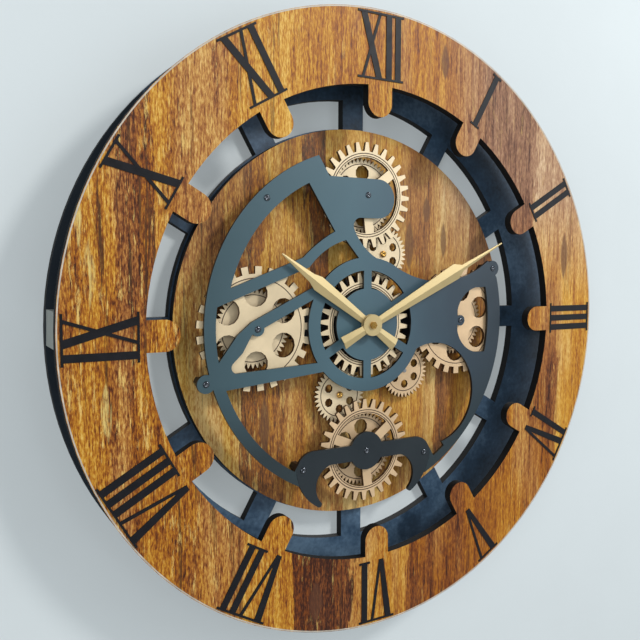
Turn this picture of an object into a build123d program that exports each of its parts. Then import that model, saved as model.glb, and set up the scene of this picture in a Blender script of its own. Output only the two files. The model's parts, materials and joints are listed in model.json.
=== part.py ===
"""Wall clock with a train of turning gears behind a pierced frame.

The dial lies in the XZ plane and faces -Y, with +Z up. The hands turn about the Y axis,
and the origin is on that axis, halfway between the dial's front and the wall.
A depth is a distance behind the front face of the numeral ring. All sizes are in mm.
"""

import math
import os

from build123d import *

os.makedirs("parts", exist_ok=True)

# Numeral ring, back plate and inner disc, all cut from the same board
board_t = 9.0
band_w = 70.5
tab_len = 29.5
tab_w = 27.0
tab_gap = 6.0
hours = 12
disc_edge = 17.0
slot_gap = 1.5
slot_inset = 5.0
spoke_w = 24.0

# Blocks that carry the ring in front of the back plate
spacer_len = 40.0
spacer_w = 30.0
spacer_h = 27.0
spacer_inset = 1.0
spacer_count = 4
spacer_angle = -1.3

# Front frame and its bridge
frame_t = 3.0
gear_air = 1.0
arm_reach = 52.0
arm_w = 11.0
body_step = 5.0
tail_w = 9.5
crown_w = 20.5
crown_angle = 109.0
bar_angle = 198.8
hub_ring_over = 15.0
hub_rim_w = 13.0
hub_window_w = 18.0
hub_web_w = 9.0
hub_webs = 6
cock_r = 19.25
cock_drop = 3.25
cock_reach = 12.0
kidney_rim_w = 18.0
kidney_back = 4.0
kidney_half = 11.5
bar_past_axle = 6.0
bar_up = 7.0
bar_down = 5.0
boss_r = 8.5
ear_r = 5.7
axle_boss_r = 6.5
bridge_boss_r = 19.3
bridge_rise = 7.0
bridge_fall = 9.0
lap_gap = 0.2
left_foot_out = 4.9
left_foot_angle = 195.4
right_foot_in = 2.8
right_foot_angle = 18.75
crown_foot_in = 8.9
crown_foot_angle = 132.6
lobe_foot_in = 15.6
lobe_foot_angle = 62.3
tongue_span = 6.0

# Toothed wheels of the train, which run behind the large gears
module = 1.5
addendum = 0.9 * module
dedendum = 2.2 * module
centre_teeth = 64
wheel_teeth = 48
pinion_teeth = 36
idler_teeth = 24
wheel_tip_share = 0.09
wheel_t = 3.0
wheel_rise = 6.0
wheel_hole_r = 8.0
wheel_hole_rim = 2.2
pinion_hole_r = 4.5
pinion_hole_rim = 5.0
pinion_lean = 20.0
drive_angle = -43.4

# Large gears in front of the wheels, each keyed on the hub of its wheel
gear_t = 3.5
hub_len = 4.0
hub_r = 8.0
key_r = 5.5
centre_hub_r = 11.0
centre_key_r = 8.5
key_gap = 0.05
rim_gear_teeth = 28
rim_gear_over = 4.0
rim_tooth_h = 8.8
rim_tooth_root = 0.31
rim_tooth_tip = 0.14
rim_w = 5.7
spoke_count = 3
gear_spoke_w = 10.0
gear_boss_r = 14.0
gear_spoke_angle = 37.0
block_gear_teeth = 25
block_gear_gap = 10.0
block_tooth_h = 7.0
block_tooth_root = 0.25
block_tooth_tip = 0.235
block_hole_r = 12.0
block_hole_rim = 6.5
hole_count = 6
rim_sides = 36
boss_sides = 12
block_hole_sides = 14
wheel_hole_sides = 10
pinion_hole_sides = 8

# Posts, pins and running fits
pin_r = 2.0
pin_proud = 0.8
shoulder_r = 4.6
post_r = 5.0
run_gap = 0.05
end_gap = 0.3

# Dry cells and their bays
cell_r = 7.0
cell_len = 49.2
nub_r = 2.7
nub_len = 1.3
contact_w = 9.0
contact_t = 1.0
bay_gap = 0.4

# Clock movement, with its bush, nut, tube and arbor
case_wall = 1.75
case_floor = 1.1
case_corner = 3.0
case_gap = 0.5
clock_bay_x = -16.0
bush_r = 5.0
nut_r = 9.0
tube_r = 2.5
tube_collet_r = 4.6
arbor_r = 1.5
arbor_collet_r = 3.4
collet_t = 1.0
motion_hole_r = 3.2
motion_hole_depth = 6.0
knob_place = (14.0, -14.0)
knob_r = 6.5
knob_sides = 12
knob_t = 3.0
knob_recess_r = 8.5
knob_recess_depth = 4.0
knob_stem_r = 2.0
knob_stem_len = 3.0

# Gear motor, whose shaft carries the drive pinion
motor_w = 44.0
motor_wall = 4.75
motor_shaft_x = -12.0
motor_shaft_z = 14.0
motor_bay_x = 11.0
shaft_depth_in_case = 4.0
switch_place = (-11.0, -16.0)
switch_recess_w = 14.0
switch_recess_h = 7.0
switch_recess_depth = 3.0
switch_w = 5.0
switch_h = 6.0
switch_t = 2.4
switch_travel = 4.0
switch_key_h = 2.4
switch_key_depth = 2.0

# Hands, folded along a ridge
fold = 0.24
blade_t = 0.9
hand_hub_r = 10.7
hand_hub_t = 1.0
hand_neck_w = 7.2
hand_tip_w = 1.2
hand_barb_len = 9.0
hand_tail_len = 37.0
hand_tail_w = 13.0
hour_clear = 6.3
hand_step = 3.8
minute_short = 12.0
minute_point = 69.0
minute_shoulder_w = 17.0
minute_barb_w = 6.2
minute_angle = 63.6
hour_short = 68.0
hour_point = 48.0
hour_shoulder_w = 15.0
hour_barb_w = 9.0
hour_angle = 305.3
hand_nut_r = 3.8
hand_nut_t = 2.0

# Hanger plate in the back, with a keyhole
hanger_w = 54.0
hanger_h = 28.0
hanger_t = 1.5
keyhole_r = 5.0
keyhole_drop = 5.0
keyhole_slot_w = 5.0
keyhole_slot_len = 13.0
nail_room_w = 16.0
nail_room_depth = 4.5

# Pitch radii of the train, and the distances of its axles from the dial's centre
centre_pitch_r = module * centre_teeth / 2
wheel_pitch_r = module * wheel_teeth / 2
pinion_pitch_r = module * pinion_teeth / 2
idler_pitch_r = module * idler_teeth / 2
pinion_orbit = centre_pitch_r + pinion_pitch_r
pinion_reach = pinion_pitch_r + wheel_pitch_r
idler_orbit = centre_pitch_r + idler_pitch_r
side_axle = idler_orbit + idler_pitch_r + wheel_pitch_r
pinion_side = pinion_orbit * math.sin(math.radians(pinion_lean))
pinion_rise = pinion_orbit * math.cos(math.radians(pinion_lean))
end_axle = pinion_rise + math.sqrt(pinion_reach**2 - pinion_side**2)

# Radii of the large gears, then of the frame and the boards that go round them
rim_gear_tip_r = centre_pitch_r + rim_gear_over
rim_gear_root_r = rim_gear_tip_r - rim_tooth_h
rim_in_r = rim_gear_root_r - rim_w
block_gear_tip_r = side_axle - rim_gear_tip_r - block_gear_gap
block_gear_root_r = block_gear_tip_r - block_tooth_h
block_hole_pitch_r = block_gear_root_r - block_hole_rim - block_hole_r
wheel_hole_pitch_r = wheel_pitch_r - dedendum - wheel_hole_rim - wheel_hole_r
pinion_hole_pitch_r = pinion_pitch_r - dedendum - pinion_hole_rim - pinion_hole_r
hub_ring_r = rim_gear_tip_r + hub_ring_over
hub_window_out_r = hub_ring_r - hub_rim_w
hub_window_in_r = hub_window_out_r - hub_window_w
arm_r = side_axle + arm_reach
arm_in_r = arm_r - arm_w
crown_in_r = arm_r - crown_w
body_r = arm_r + body_step
tail_in_r = body_r - tail_w
kidney_r = body_r - kidney_rim_w
lobe_foot_r = arm_r - lobe_foot_in
disc_r = body_r + disc_edge
tab_tip_r = disc_r + tab_gap
ring_hole_r = tab_tip_r + tab_len
ring_r = ring_hole_r + band_w
slot_in_r = disc_r + slot_gap
slot_out_r = ring_hole_r - slot_inset
spacer_r = ring_r - spacer_inset - spacer_h / 2
hanger_z = ring_r - band_w / 2
minute_len = tab_tip_r - minute_short
hour_len = minute_len - hour_short

# Bays and cases
bore_r = pin_r + run_gap
bay_w = 2 * (cell_r + bay_gap)
bay_len = cell_len + nub_len + 2 * contact_t
bay_depth = 2 * cell_r + bay_gap
case_w = bay_len + 2 * case_wall
motor_h = bay_len + 2 * motor_wall
case_depth = bay_depth + case_floor

# Depths of the layers
frame_gap = wheel_rise + wheel_t + hub_len + gear_t + gear_air
total_depth = board_t + spacer_len + board_t
plate_front = board_t + spacer_len
disc_front = plate_front - board_t
case_front = total_depth - case_depth
frame_back = disc_front - frame_gap
frame_front = frame_back - frame_t
wheel_back = disc_front - wheel_rise
wheel_front = wheel_back - wheel_t
gear_back = wheel_front - hub_len
hour_depth = frame_front - hour_clear
minute_depth = hour_depth - hand_step


def at(depth, place=(0.0, 0.0)):
    """Plane parallel to the dial at a depth, facing the viewer, with its origin at a place."""
    return Plane(
        origin=(place[0], depth - total_depth / 2, place[1]),
        x_dir=(1, 0, 0),
        z_dir=(0, -1, 0),
    )


def polar(radius, angle):
    """Point of the dial at a radius and an angle from +X."""
    return (
        radius * math.cos(math.radians(angle)),
        radius * math.sin(math.radians(angle)),
    )


def shares(size, across, up):
    """Point of the dial given as two shares of a size."""
    return (size * across, size * up)


def finish(builder, name):
    """Names a finished piece and writes it."""
    builder.part.label = name
    export_step(builder.part, f"parts/{name}.step")


def sector(in_r, out_r, start, sweep):
    """Part of an annulus about the dial's centre."""
    with BuildLine() as outline:
        outer = CenterArc((0, 0), out_r, start, sweep)
        inner = CenterArc((0, 0), in_r, start, sweep)
        Line(outer @ 0, inner @ 0)
        Line(outer @ 1, inner @ 1)
    make_face(outline.edges())


def toothed(count, phase, profile):
    """Toothed outline. The profile gives a tooth as radii and shares of the pitch."""
    pitch = 360 / count
    points = [
        polar(radius, phase + pitch * (tooth + share))
        for tooth in range(count)
        for radius, share in profile
    ]
    with BuildLine() as outline:
        Polyline(*points, close=True)
    make_face(outline.edges())


def wheel_profile(count):
    """One tooth of a wheel of the train: a pointed gap, two straight flanks and a flat tip."""
    pitch_r = module * count / 2
    return [
        (pitch_r - dedendum, -0.5),
        (pitch_r + addendum, -wheel_tip_share),
        (pitch_r + addendum, wheel_tip_share),
    ]


def meshed(count_a, phase_a, count_b, direction):
    """Phase that puts wheel b's teeth in wheel a's gaps, with b in that direction."""
    share = (phase_a - direction) * count_a / 360
    return direction + 180 - 360 / count_b * (share + 0.5)


def bearing(start, end):
    """Direction from one point of the dial to another, in degrees."""
    return math.degrees(math.atan2(end[1] - start[1], end[0] - start[0]))


# Places on the dial

axles = {
    "top": (0.0, end_axle),
    "bottom": (0.0, -end_axle),
    "left": (-side_axle, 0.0),
    "right": (side_axle, 0.0),
}
idlers = {"left": (-idler_orbit, 0.0), "right": (idler_orbit, 0.0)}
upper_pinion_at = (pinion_side, pinion_rise)
lower_pinion_at = (-pinion_side, -pinion_rise)
drive_at = polar(pinion_orbit, drive_angle)
motor_at = (drive_at[0] - motor_shaft_x, drive_at[1] - motor_shaft_z)
pinion_pins = [upper_pinion_at, lower_pinion_at, *idlers.values()]
left_foot = polar(arm_r + left_foot_out, left_foot_angle)
right_foot = polar(body_r - right_foot_in, right_foot_angle)
crown_foot = polar(arm_r - crown_foot_in, crown_foot_angle)
lobe_feet = [polar(lobe_foot_r, 180 + lobe_foot_angle), polar(lobe_foot_r, -lobe_foot_angle)]
feet = [left_foot, right_foot, crown_foot, *lobe_feet]

# Boards

with BuildPart() as numeral_ring:
    with BuildSketch(at(board_t)):
        Circle(ring_r)
        Circle(ring_hole_r, mode=Mode.SUBTRACT)
        with PolarLocations(tab_tip_r + tab_w / 2, hours):
            Circle(tab_w / 2)
        with PolarLocations(tab_tip_r + tab_w / 2 + tab_len / 2, hours):
            Rectangle(tab_len, tab_w)
    extrude(amount=board_t)
finish(numeral_ring, "numeral_ring")

with BuildPart() as back_plate:
    with BuildSketch(at(total_depth)):
        Circle(ring_r)
    extrude(amount=board_t)
    with BuildSketch(at(total_depth)):
        Circle(slot_out_r)
        Circle(slot_in_r, mode=Mode.SUBTRACT)
        with PolarLocations((slot_in_r + slot_out_r) / 2, hours):
            Rectangle(2 * (slot_out_r - slot_in_r), spoke_w, mode=Mode.SUBTRACT)
    extrude(amount=board_t, mode=Mode.SUBTRACT)
    with BuildSketch(at(total_depth)):
        Rectangle(case_w + 2 * case_gap, case_w + 2 * case_gap)
        with Locations(motor_at):
            Rectangle(motor_w + 2 * case_gap, motor_h + 2 * case_gap)
    extrude(amount=board_t, mode=Mode.SUBTRACT)
    with BuildSketch(at(total_depth)):
        with Locations((0, hanger_z)):
            Rectangle(hanger_w + 2 * lap_gap, hanger_h + 2 * lap_gap)
    extrude(amount=hanger_t, mode=Mode.SUBTRACT)
    with BuildSketch(at(total_depth - hanger_t)):
        with Locations((0, hanger_z)):
            Rectangle(nail_room_w, hanger_h - 2 * lap_gap)
    extrude(amount=nail_room_depth, mode=Mode.SUBTRACT)
finish(back_plate, "back_plate")

with BuildPart() as inner_disc:
    with BuildSketch(at(plate_front)):
        Circle(disc_r)
        Circle(bush_r + run_gap, mode=Mode.SUBTRACT)
        with Locations(drive_at):
            Circle(pin_r + end_gap, mode=Mode.SUBTRACT)
    extrude(amount=board_t)
    with BuildSketch(at(plate_front)):
        Rectangle(case_w + 2 * case_gap, case_w + 2 * case_gap)
        with Locations(motor_at):
            Rectangle(motor_w + 2 * case_gap, motor_h + 2 * case_gap)
    extrude(amount=plate_front - case_front, mode=Mode.SUBTRACT)
finish(inner_disc, "inner_disc")

with BuildPart() as ring_spacers:
    with BuildSketch(at(plate_front)):
        with PolarLocations(spacer_r, spacer_count, spacer_angle):
            Rectangle(spacer_h, spacer_w)
    extrude(amount=spacer_len)
finish(ring_spacers, "ring_spacers")

# Hanger

with BuildPart() as hanger_plate:
    with BuildSketch(at(total_depth)):
        with Locations((0, hanger_z)):
            Rectangle(hanger_w, hanger_h)
        with Locations((0, hanger_z - keyhole_drop)):
            Circle(keyhole_r, mode=Mode.SUBTRACT)
        with Locations((0, hanger_z - keyhole_drop + keyhole_slot_len / 2)):
            SlotCenterToCenter(keyhole_slot_len, keyhole_slot_w, 90, mode=Mode.SUBTRACT)
    extrude(amount=hanger_t)
finish(hanger_plate, "hanger_plate")

# Front frame and bridge


def bridge_outline():
    """Bridge under the dial's centre: a boss, two lobes and two horns, drawn in shares of the arm."""
    top = -end_axle + bridge_rise
    bottom = -end_axle - bridge_fall
    lobe_top = (shares(arm_r, 0.349, 0)[0], top)
    lobe_side = shares(arm_r, 0.465, -0.82)
    horn_out = shares(arm_r, 0.331, -1.029)
    horn_in = shares(arm_r, 0.302, -1.012)
    root = (shares(arm_r, 0.244, 0)[0], bottom)
    with BuildLine() as outline:
        Line((0, top), lobe_top)
        ThreePointArc(lobe_top, shares(arm_r, 0.433, -0.736), lobe_side)
        ThreePointArc(lobe_side, shares(arm_r, 0.4215, -0.939), horn_out)
        ThreePointArc(horn_out, shares(arm_r, 0.308, -1.03), horn_in)
        ThreePointArc(horn_in, shares(arm_r, 0.34, -0.907), root)
        Line(root, (0, bottom))
        Line((0, bottom), (0, top))
    make_face(outline.edges())
    mirror(about=Plane.YZ)
    with Locations(axles["bottom"]):
        Circle(bridge_boss_r)


def left_outline():
    """Left half of the frame, before its windows are cut, with the foot of its arm."""
    crown = polar(arm_r, crown_angle)
    bar_end = polar(arm_r, bar_angle)
    bar_root = shares(arm_r, -0.291, -0.256)
    with BuildLine() as outline:
        Line((0, 0), crown)
        CenterArc((0, 0), arm_r, crown_angle, bar_angle - crown_angle)
        Line(bar_end, bar_root)
        Line(bar_root, (0, 0))
    make_face(outline.edges())
    tongue_angle = 180 + lobe_foot_angle
    sector(arm_in_r, arm_r, bar_angle - tongue_span, tongue_angle - bar_angle)
    with Locations(left_foot):
        Circle(boss_r)


def cock_outline():
    """Cock over the top gear, from the crown's corner to the hub ring."""
    crown = polar(arm_r, crown_angle)
    top = end_axle - cock_drop + cock_r
    bottom = top - 2 * cock_r
    corner = (shares(arm_r, -0.258, 0)[0], top)
    throat = (shares(arm_r, -0.0465, 0)[0], bottom)
    neck = shares(arm_r, -0.097, 0.555)
    hub_end = polar(hub_ring_r, 81.4)
    with BuildLine() as outline:
        Line((0, 0), crown)
        Line(crown, corner)
        Line(corner, (cock_reach, top))
        ThreePointArc((cock_reach, top), (cock_reach + cock_r, top - cock_r), (cock_reach, bottom))
        Line((cock_reach, bottom), throat)
        ThreePointArc(throat, shares(arm_r, -0.09, 0.593), neck)
        ThreePointArc(neck, shares(arm_r, -0.026, 0.448), hub_end)
        Line(hub_end, (0, 0))
    make_face(outline.edges())


def right_outline():
    """Right body, bounded by its top edge and its outer arc, with its foot."""
    shoulder = shares(body_r, 0.893, 0.364)
    top_root = polar(hub_ring_r, 57.0)
    rim_start = 15.0
    with BuildLine() as outline:
        ThreePointArc(top_root, shares(body_r, 0.486, 0.24), shoulder)
        Line(shoulder, polar(body_r, rim_start))
        rim = CenterArc((0, 0), body_r, rim_start, -lobe_foot_angle - rim_start)
        Line(rim @ 1, (0, 0))
        Line((0, 0), top_root)
    make_face(outline.edges())
    with Locations(right_foot):
        Circle(boss_r)


def crown_window():
    """Upper window of the left half."""
    start = 116.0
    end = 165.5
    inner = shares(arm_r, -0.22, 0.532)
    outer = shares(arm_r, -0.424, 0.384)
    with BuildLine() as outline:
        Line(polar(crown_in_r, start), inner)
        ThreePointArc(inner, shares(arm_r, -0.317, 0.473), outer)
        Line(outer, polar(crown_in_r, end))
        CenterArc((0, 0), crown_in_r, end, start - end)
    make_face(outline.edges())


def middle_window():
    """Bent window of the left half, from the arm to the top of the hub ring."""
    start = 172.4
    end = 190.3
    hub_start = 99.0
    hub_end = 140.1
    outer = shares(arm_r, -0.384, 0.331)
    inner = shares(arm_r, -0.148, 0.485)
    bar_end = (-side_axle - bar_past_axle, bar_up)
    bend = shares(arm_in_r, -0.87, -0.028)
    with BuildLine() as outline:
        Line(polar(arm_in_r, start), outer)
        ThreePointArc(outer, shares(arm_r, -0.279, 0.427), inner)
        Line(inner, polar(hub_ring_r, hub_start))
        CenterArc((0, 0), hub_ring_r, hub_start, hub_end - hub_start)
        Line(polar(hub_ring_r, hub_end), bar_end)
        Line(bar_end, bend)
        Line(bend, polar(arm_in_r, end))
        CenterArc((0, 0), arm_in_r, end, start - end)
    make_face(outline.edges())


def lower_window():
    """Window under the bar that holds the left gear's axle."""
    hub_start = 156.8
    hub_end = 211.5
    bar_end = (-side_axle - bar_past_axle, -bar_down)
    knee = shares(arm_in_r, -0.840, -0.132)
    upper = shares(arm_in_r, -0.899, -0.188)
    lower = shares(arm_in_r, -0.876, -0.245)
    with BuildLine() as outline:
        Line(polar(hub_ring_r, hub_start), bar_end)
        Line(bar_end, knee)
        Line(knee, upper)
        ThreePointArc(upper, shares(arm_in_r, -0.908, -0.215), lower)
        Line(lower, polar(hub_ring_r, hub_end))
        CenterArc((0, 0), hub_ring_r, hub_end, hub_start - hub_end)
    make_face(outline.edges())


def right_windows():
    """Round cut under the right body, the gap inside its tail and the kidney window."""
    with Locations(shares(body_r, 0.475, -0.435)):
        Circle(shares(body_r, 0.308, 0)[0])
    tail_start = -53.5
    with BuildLine() as outline:
        gap = CenterArc((0, 0), tail_in_r, tail_start, -lobe_foot_angle - tongue_span - tail_start)
        Line((0, 0), gap @ 0)
        Line(gap @ 1, (0, 0))
    make_face(outline.edges())
    half_span = 13.0
    corner = shares(kidney_r, 0.885, 0.222)
    cheek = shares(kidney_r, 0.772, 0.155)
    back = side_axle - kidney_back
    with BuildLine() as outline:
        rim = CenterArc((0, 0), kidney_r, -half_span, 2 * half_span)
        Line(rim @ 1, corner)
        ThreePointArc(corner, cheek, (back, kidney_half))
        Line((back, kidney_half), (back, -kidney_half))
        ThreePointArc((back, -kidney_half), (cheek[0], -cheek[1]), (corner[0], -corner[1]))
        Line((corner[0], -corner[1]), rim @ 0)
    make_face(outline.edges())


def tongues():
    """Ends of the arm and the tail, which run under the bridge to its feet."""
    tongue_in = lobe_foot_r - boss_r
    left = 180 + lobe_foot_angle - tongue_span / 2
    right = -lobe_foot_angle - tongue_span / 2
    sector(tongue_in, arm_r, left, tongue_span)
    sector(arm_in_r, arm_r, left - tongue_span, 2 * tongue_span)
    sector(tongue_in, body_r, right, tongue_span)
    sector(tail_in_r, body_r, right, 2 * tongue_span)


with BuildPart() as frame_plate:
    with BuildSketch(at(frame_back)):
        Circle(hub_ring_r)
        left_outline()
        cock_outline()
        right_outline()
        with BuildSketch(mode=Mode.SUBTRACT):
            crown_window()
            middle_window()
            lower_window()
            right_windows()
        Circle(hub_ring_r)
        with BuildSketch(mode=Mode.SUBTRACT):
            Circle(hub_window_out_r)
            Circle(hub_window_in_r, mode=Mode.SUBTRACT)
            with PolarLocations((hub_window_out_r + hub_window_in_r) / 2, hub_webs, 180 / hub_webs):
                Rectangle(2 * hub_window_w, hub_web_w, mode=Mode.SUBTRACT)
        tongues()
        with Locations(axles["left"]):
            Circle(axle_boss_r)
        with Locations(axles["right"]):
            Circle(ear_r)
        Circle(bush_r + run_gap, mode=Mode.SUBTRACT)
    extrude(amount=frame_t)
    with BuildSketch(at(frame_back - frame_t / 2)):
        bridge_outline()
        offset(amount=lap_gap)
    extrude(amount=frame_t / 2, mode=Mode.SUBTRACT)
finish(frame_plate, "frame_plate")

with BuildPart() as lower_bridge:
    with BuildSketch(at(frame_back)):
        bridge_outline()
    extrude(amount=frame_t)
    with BuildSketch(at(frame_back)):
        tongues()
        offset(amount=lap_gap)
    extrude(amount=frame_t / 2, mode=Mode.SUBTRACT)
finish(lower_bridge, "lower_bridge")

with BuildPart() as frame_posts:
    with BuildSketch(at(disc_front)):
        with Locations(*feet):
            RegularPolygon(post_r, 6)
    extrude(amount=frame_gap)
finish(frame_posts, "frame_posts")

with BuildPart() as axle_pins:
    with BuildSketch(at(disc_front)):
        with Locations(*axles.values()):
            Circle(pin_r)
    extrude(amount=frame_gap)
    with BuildSketch(at(disc_front)):
        with Locations(*pinion_pins):
            Circle(pin_r)
    extrude(amount=wheel_rise + wheel_t + pin_proud)
    with BuildSketch(at(disc_front)):
        with Locations(*axles.values(), *pinion_pins):
            RegularPolygon(shoulder_r, 6)
    extrude(amount=wheel_rise - end_gap)
finish(axle_pins, "axle_pins")

# Large gears


def rim_gear(name, place, phase, key):
    """Gear with a rim, three spokes and tapered teeth, keyed on a six-sided hub."""
    profile = [
        (rim_gear_root_r, -rim_tooth_root),
        (rim_gear_tip_r, -rim_tooth_tip),
        (rim_gear_tip_r, rim_tooth_tip),
        (rim_gear_root_r, rim_tooth_root),
    ]
    with BuildPart() as gear:
        with BuildSketch(at(gear_back, place)):
            toothed(rim_gear_teeth, phase, profile)
            with BuildSketch(mode=Mode.SUBTRACT):
                RegularPolygon(rim_in_r, rim_sides)
                RegularPolygon(gear_boss_r, boss_sides, mode=Mode.SUBTRACT)
                with PolarLocations(rim_in_r / 2, spoke_count, gear_spoke_angle):
                    Rectangle(rim_in_r, gear_spoke_w, mode=Mode.SUBTRACT)
            RegularPolygon(key + key_gap, 6, mode=Mode.SUBTRACT)
        extrude(amount=gear_t)
    finish(gear, name)


def block_gear(name, place, phase, hole_phase):
    """Gear with square teeth and a ring of holes, keyed on a six-sided hub."""
    profile = [
        (block_gear_root_r, -block_tooth_root),
        (block_gear_tip_r, -block_tooth_tip),
        (block_gear_tip_r, block_tooth_tip),
        (block_gear_root_r, block_tooth_root),
    ]
    with BuildPart() as gear:
        with BuildSketch(at(gear_back, place)):
            toothed(block_gear_teeth, phase, profile)
            with PolarLocations(block_hole_pitch_r, hole_count, hole_phase):
                RegularPolygon(block_hole_r, block_hole_sides, mode=Mode.SUBTRACT)
            RegularPolygon(key_r + key_gap, 6, mode=Mode.SUBTRACT)
        extrude(amount=gear_t)
    finish(gear, name)


rim_gear("centre_gear", (0.0, 0.0), 98.4, centre_key_r)
rim_gear("top_gear", axles["top"], 89.0, key_r)
rim_gear("bottom_gear", axles["bottom"], 90.0, key_r)
block_gear("left_gear", axles["left"], 87.2, 30.0)
block_gear("right_gear", axles["right"], 95.3, 24.0)

# Wheels of the train


def train_wheel(name, place, count, phase, bore, hub=None, holes=None):
    """Wheel of the train. A hub is the radii of its seat and key; holes are radius, pitch and sides."""
    length = wheel_t
    with BuildPart() as wheel:
        with BuildSketch(at(wheel_back, place)):
            toothed(count, phase, wheel_profile(count))
            if holes:
                with PolarLocations(holes[1], hole_count, 180 / hole_count):
                    RegularPolygon(holes[0], holes[2], mode=Mode.SUBTRACT)
        extrude(amount=wheel_t)
        if hub:
            length = wheel_t + hub_len + gear_t
            with BuildSketch(at(wheel_front, place)):
                RegularPolygon(hub[0], 6)
            extrude(amount=hub_len)
            with BuildSketch(at(gear_back, place)):
                RegularPolygon(hub[1], 6)
            extrude(amount=gear_t)
        with BuildSketch(at(wheel_back, place)):
            Circle(bore)
        extrude(amount=length, mode=Mode.SUBTRACT)
    finish(wheel, name)


gear_hub = (hub_r, key_r)
wheel_holes = (wheel_hole_r, wheel_hole_pitch_r, wheel_hole_sides)
pinion_holes = (pinion_hole_r, pinion_hole_pitch_r, pinion_hole_sides)
train_wheel(
    "centre_wheel", (0.0, 0.0), centre_teeth, 0.0, bush_r + run_gap,
    hub=(centre_hub_r, centre_key_r),
)

pinions = {"upper_pinion": upper_pinion_at, "lower_pinion": lower_pinion_at, "drive_pinion": drive_at}
pinion_phase = {}
for name, place in pinions.items():
    phase = meshed(centre_teeth, 0.0, pinion_teeth, bearing((0, 0), place))
    pinion_phase[name] = phase
    train_wheel(name, place, pinion_teeth, phase, bore_r, holes=pinion_holes)

for name, pinion in (("top", "upper_pinion"), ("bottom", "lower_pinion")):
    way = bearing(pinions[pinion], axles[name])
    phase = meshed(pinion_teeth, pinion_phase[pinion], wheel_teeth, way)
    train_wheel(f"{name}_wheel", axles[name], wheel_teeth, phase, bore_r, gear_hub, wheel_holes)

for name, place in idlers.items():
    way = bearing((0, 0), place)
    idler_phase = meshed(centre_teeth, 0.0, idler_teeth, way)
    train_wheel(f"{name}_idler", place, idler_teeth, idler_phase, bore_r)
    phase = meshed(idler_teeth, idler_phase, wheel_teeth, way)
    train_wheel(f"{name}_wheel", axles[name], wheel_teeth, phase, bore_r, gear_hub)

# Movement

with BuildPart() as movement_case:
    with BuildSketch(at(total_depth)) as case_face:
        Rectangle(case_w, case_w)
        chamfer(case_face.vertices(), case_corner)
    extrude(amount=case_depth)
    with BuildSketch(at(total_depth)):
        with Locations((clock_bay_x, 0)):
            Rectangle(bay_w, bay_len)
    extrude(amount=bay_depth, mode=Mode.SUBTRACT)
    with BuildSketch(at(total_depth)):
        with Locations(knob_place):
            Circle(knob_recess_r)
    extrude(amount=knob_recess_depth, mode=Mode.SUBTRACT)
    with BuildSketch(at(total_depth - knob_recess_depth)):
        with Locations(knob_place):
            Circle(knob_stem_r + run_gap)
    extrude(amount=knob_stem_len, mode=Mode.SUBTRACT)
    with BuildSketch(at(case_front + motion_hole_depth)):
        Circle(motion_hole_r)
    extrude(amount=motion_hole_depth, mode=Mode.SUBTRACT)
finish(movement_case, "movement_case")

with BuildPart() as set_knob:
    knob_back = total_depth - knob_recess_depth + knob_t + end_gap
    with BuildSketch(at(knob_back)):
        with Locations(knob_place):
            RegularPolygon(knob_r, knob_sides)
    extrude(amount=knob_t)
    with BuildSketch(at(knob_back)):
        with Locations(knob_place):
            Circle(knob_stem_r)
    extrude(amount=knob_t + knob_stem_len)
finish(set_knob, "set_knob")

with BuildPart() as movement_bush:
    with BuildSketch(at(case_front)):
        Circle(bush_r)
        Circle(tube_r + run_gap, mode=Mode.SUBTRACT)
    extrude(amount=case_front - frame_front)
finish(movement_bush, "movement_bush")

with BuildPart() as movement_nut:
    with BuildSketch(at(disc_front)):
        RegularPolygon(nut_r, 6)
        Circle(bush_r + run_gap, mode=Mode.SUBTRACT)
    extrude(amount=wheel_rise - end_gap)
finish(movement_nut, "movement_nut")

# Gear motor

with BuildPart() as motor_case:
    with BuildSketch(at(total_depth, motor_at)) as motor_face:
        Rectangle(motor_w, motor_h)
        chamfer(motor_face.vertices(), case_corner)
    extrude(amount=case_depth)
    with BuildSketch(at(total_depth, motor_at)):
        with Locations((motor_bay_x, 0)):
            Rectangle(bay_w, bay_len)
    extrude(amount=bay_depth, mode=Mode.SUBTRACT)
    with BuildSketch(at(total_depth, motor_at)):
        with Locations(switch_place):
            Rectangle(switch_recess_w, switch_recess_h)
    extrude(amount=switch_recess_depth, mode=Mode.SUBTRACT)
    with BuildSketch(at(total_depth - switch_recess_depth, motor_at)):
        with Locations(switch_place):
            Rectangle(switch_recess_w, switch_key_h + 2 * run_gap)
    extrude(amount=switch_key_depth, mode=Mode.SUBTRACT)
    with BuildSketch(at(case_front + shaft_depth_in_case, drive_at)):
        Circle(bore_r)
    extrude(amount=shaft_depth_in_case, mode=Mode.SUBTRACT)
finish(motor_case, "motor_case")

with BuildPart() as motor_switch:
    floor = total_depth - switch_recess_depth
    rest_place = (switch_place[0] - switch_travel / 2, switch_place[1])
    with BuildSketch(at(floor + switch_t, motor_at)):
        with Locations(rest_place):
            Rectangle(switch_w, switch_h)
    extrude(amount=switch_t)
    with BuildSketch(at(floor, motor_at)):
        with Locations(rest_place):
            Rectangle(switch_w, switch_key_h)
    extrude(amount=switch_key_depth - end_gap)
finish(motor_switch, "motor_switch")

with BuildPart() as drive_shaft:
    shaft_end = case_front + shaft_depth_in_case - end_gap
    with BuildSketch(at(shaft_end, drive_at)):
        Circle(pin_r)
    extrude(amount=shaft_end - wheel_front + pin_proud)
    with BuildSketch(at(disc_front - end_gap, drive_at)):
        RegularPolygon(shoulder_r, 6)
    extrude(amount=wheel_rise - end_gap)
finish(drive_shaft, "drive_shaft")

# Dry cells, nub up, and the flat contacts at the ends of their bays

cell_y = total_depth / 2 - bay_depth / 2
bays = [(clock_bay_x, 0.0), (motor_at[0] + motor_bay_x, motor_at[1])]

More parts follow.
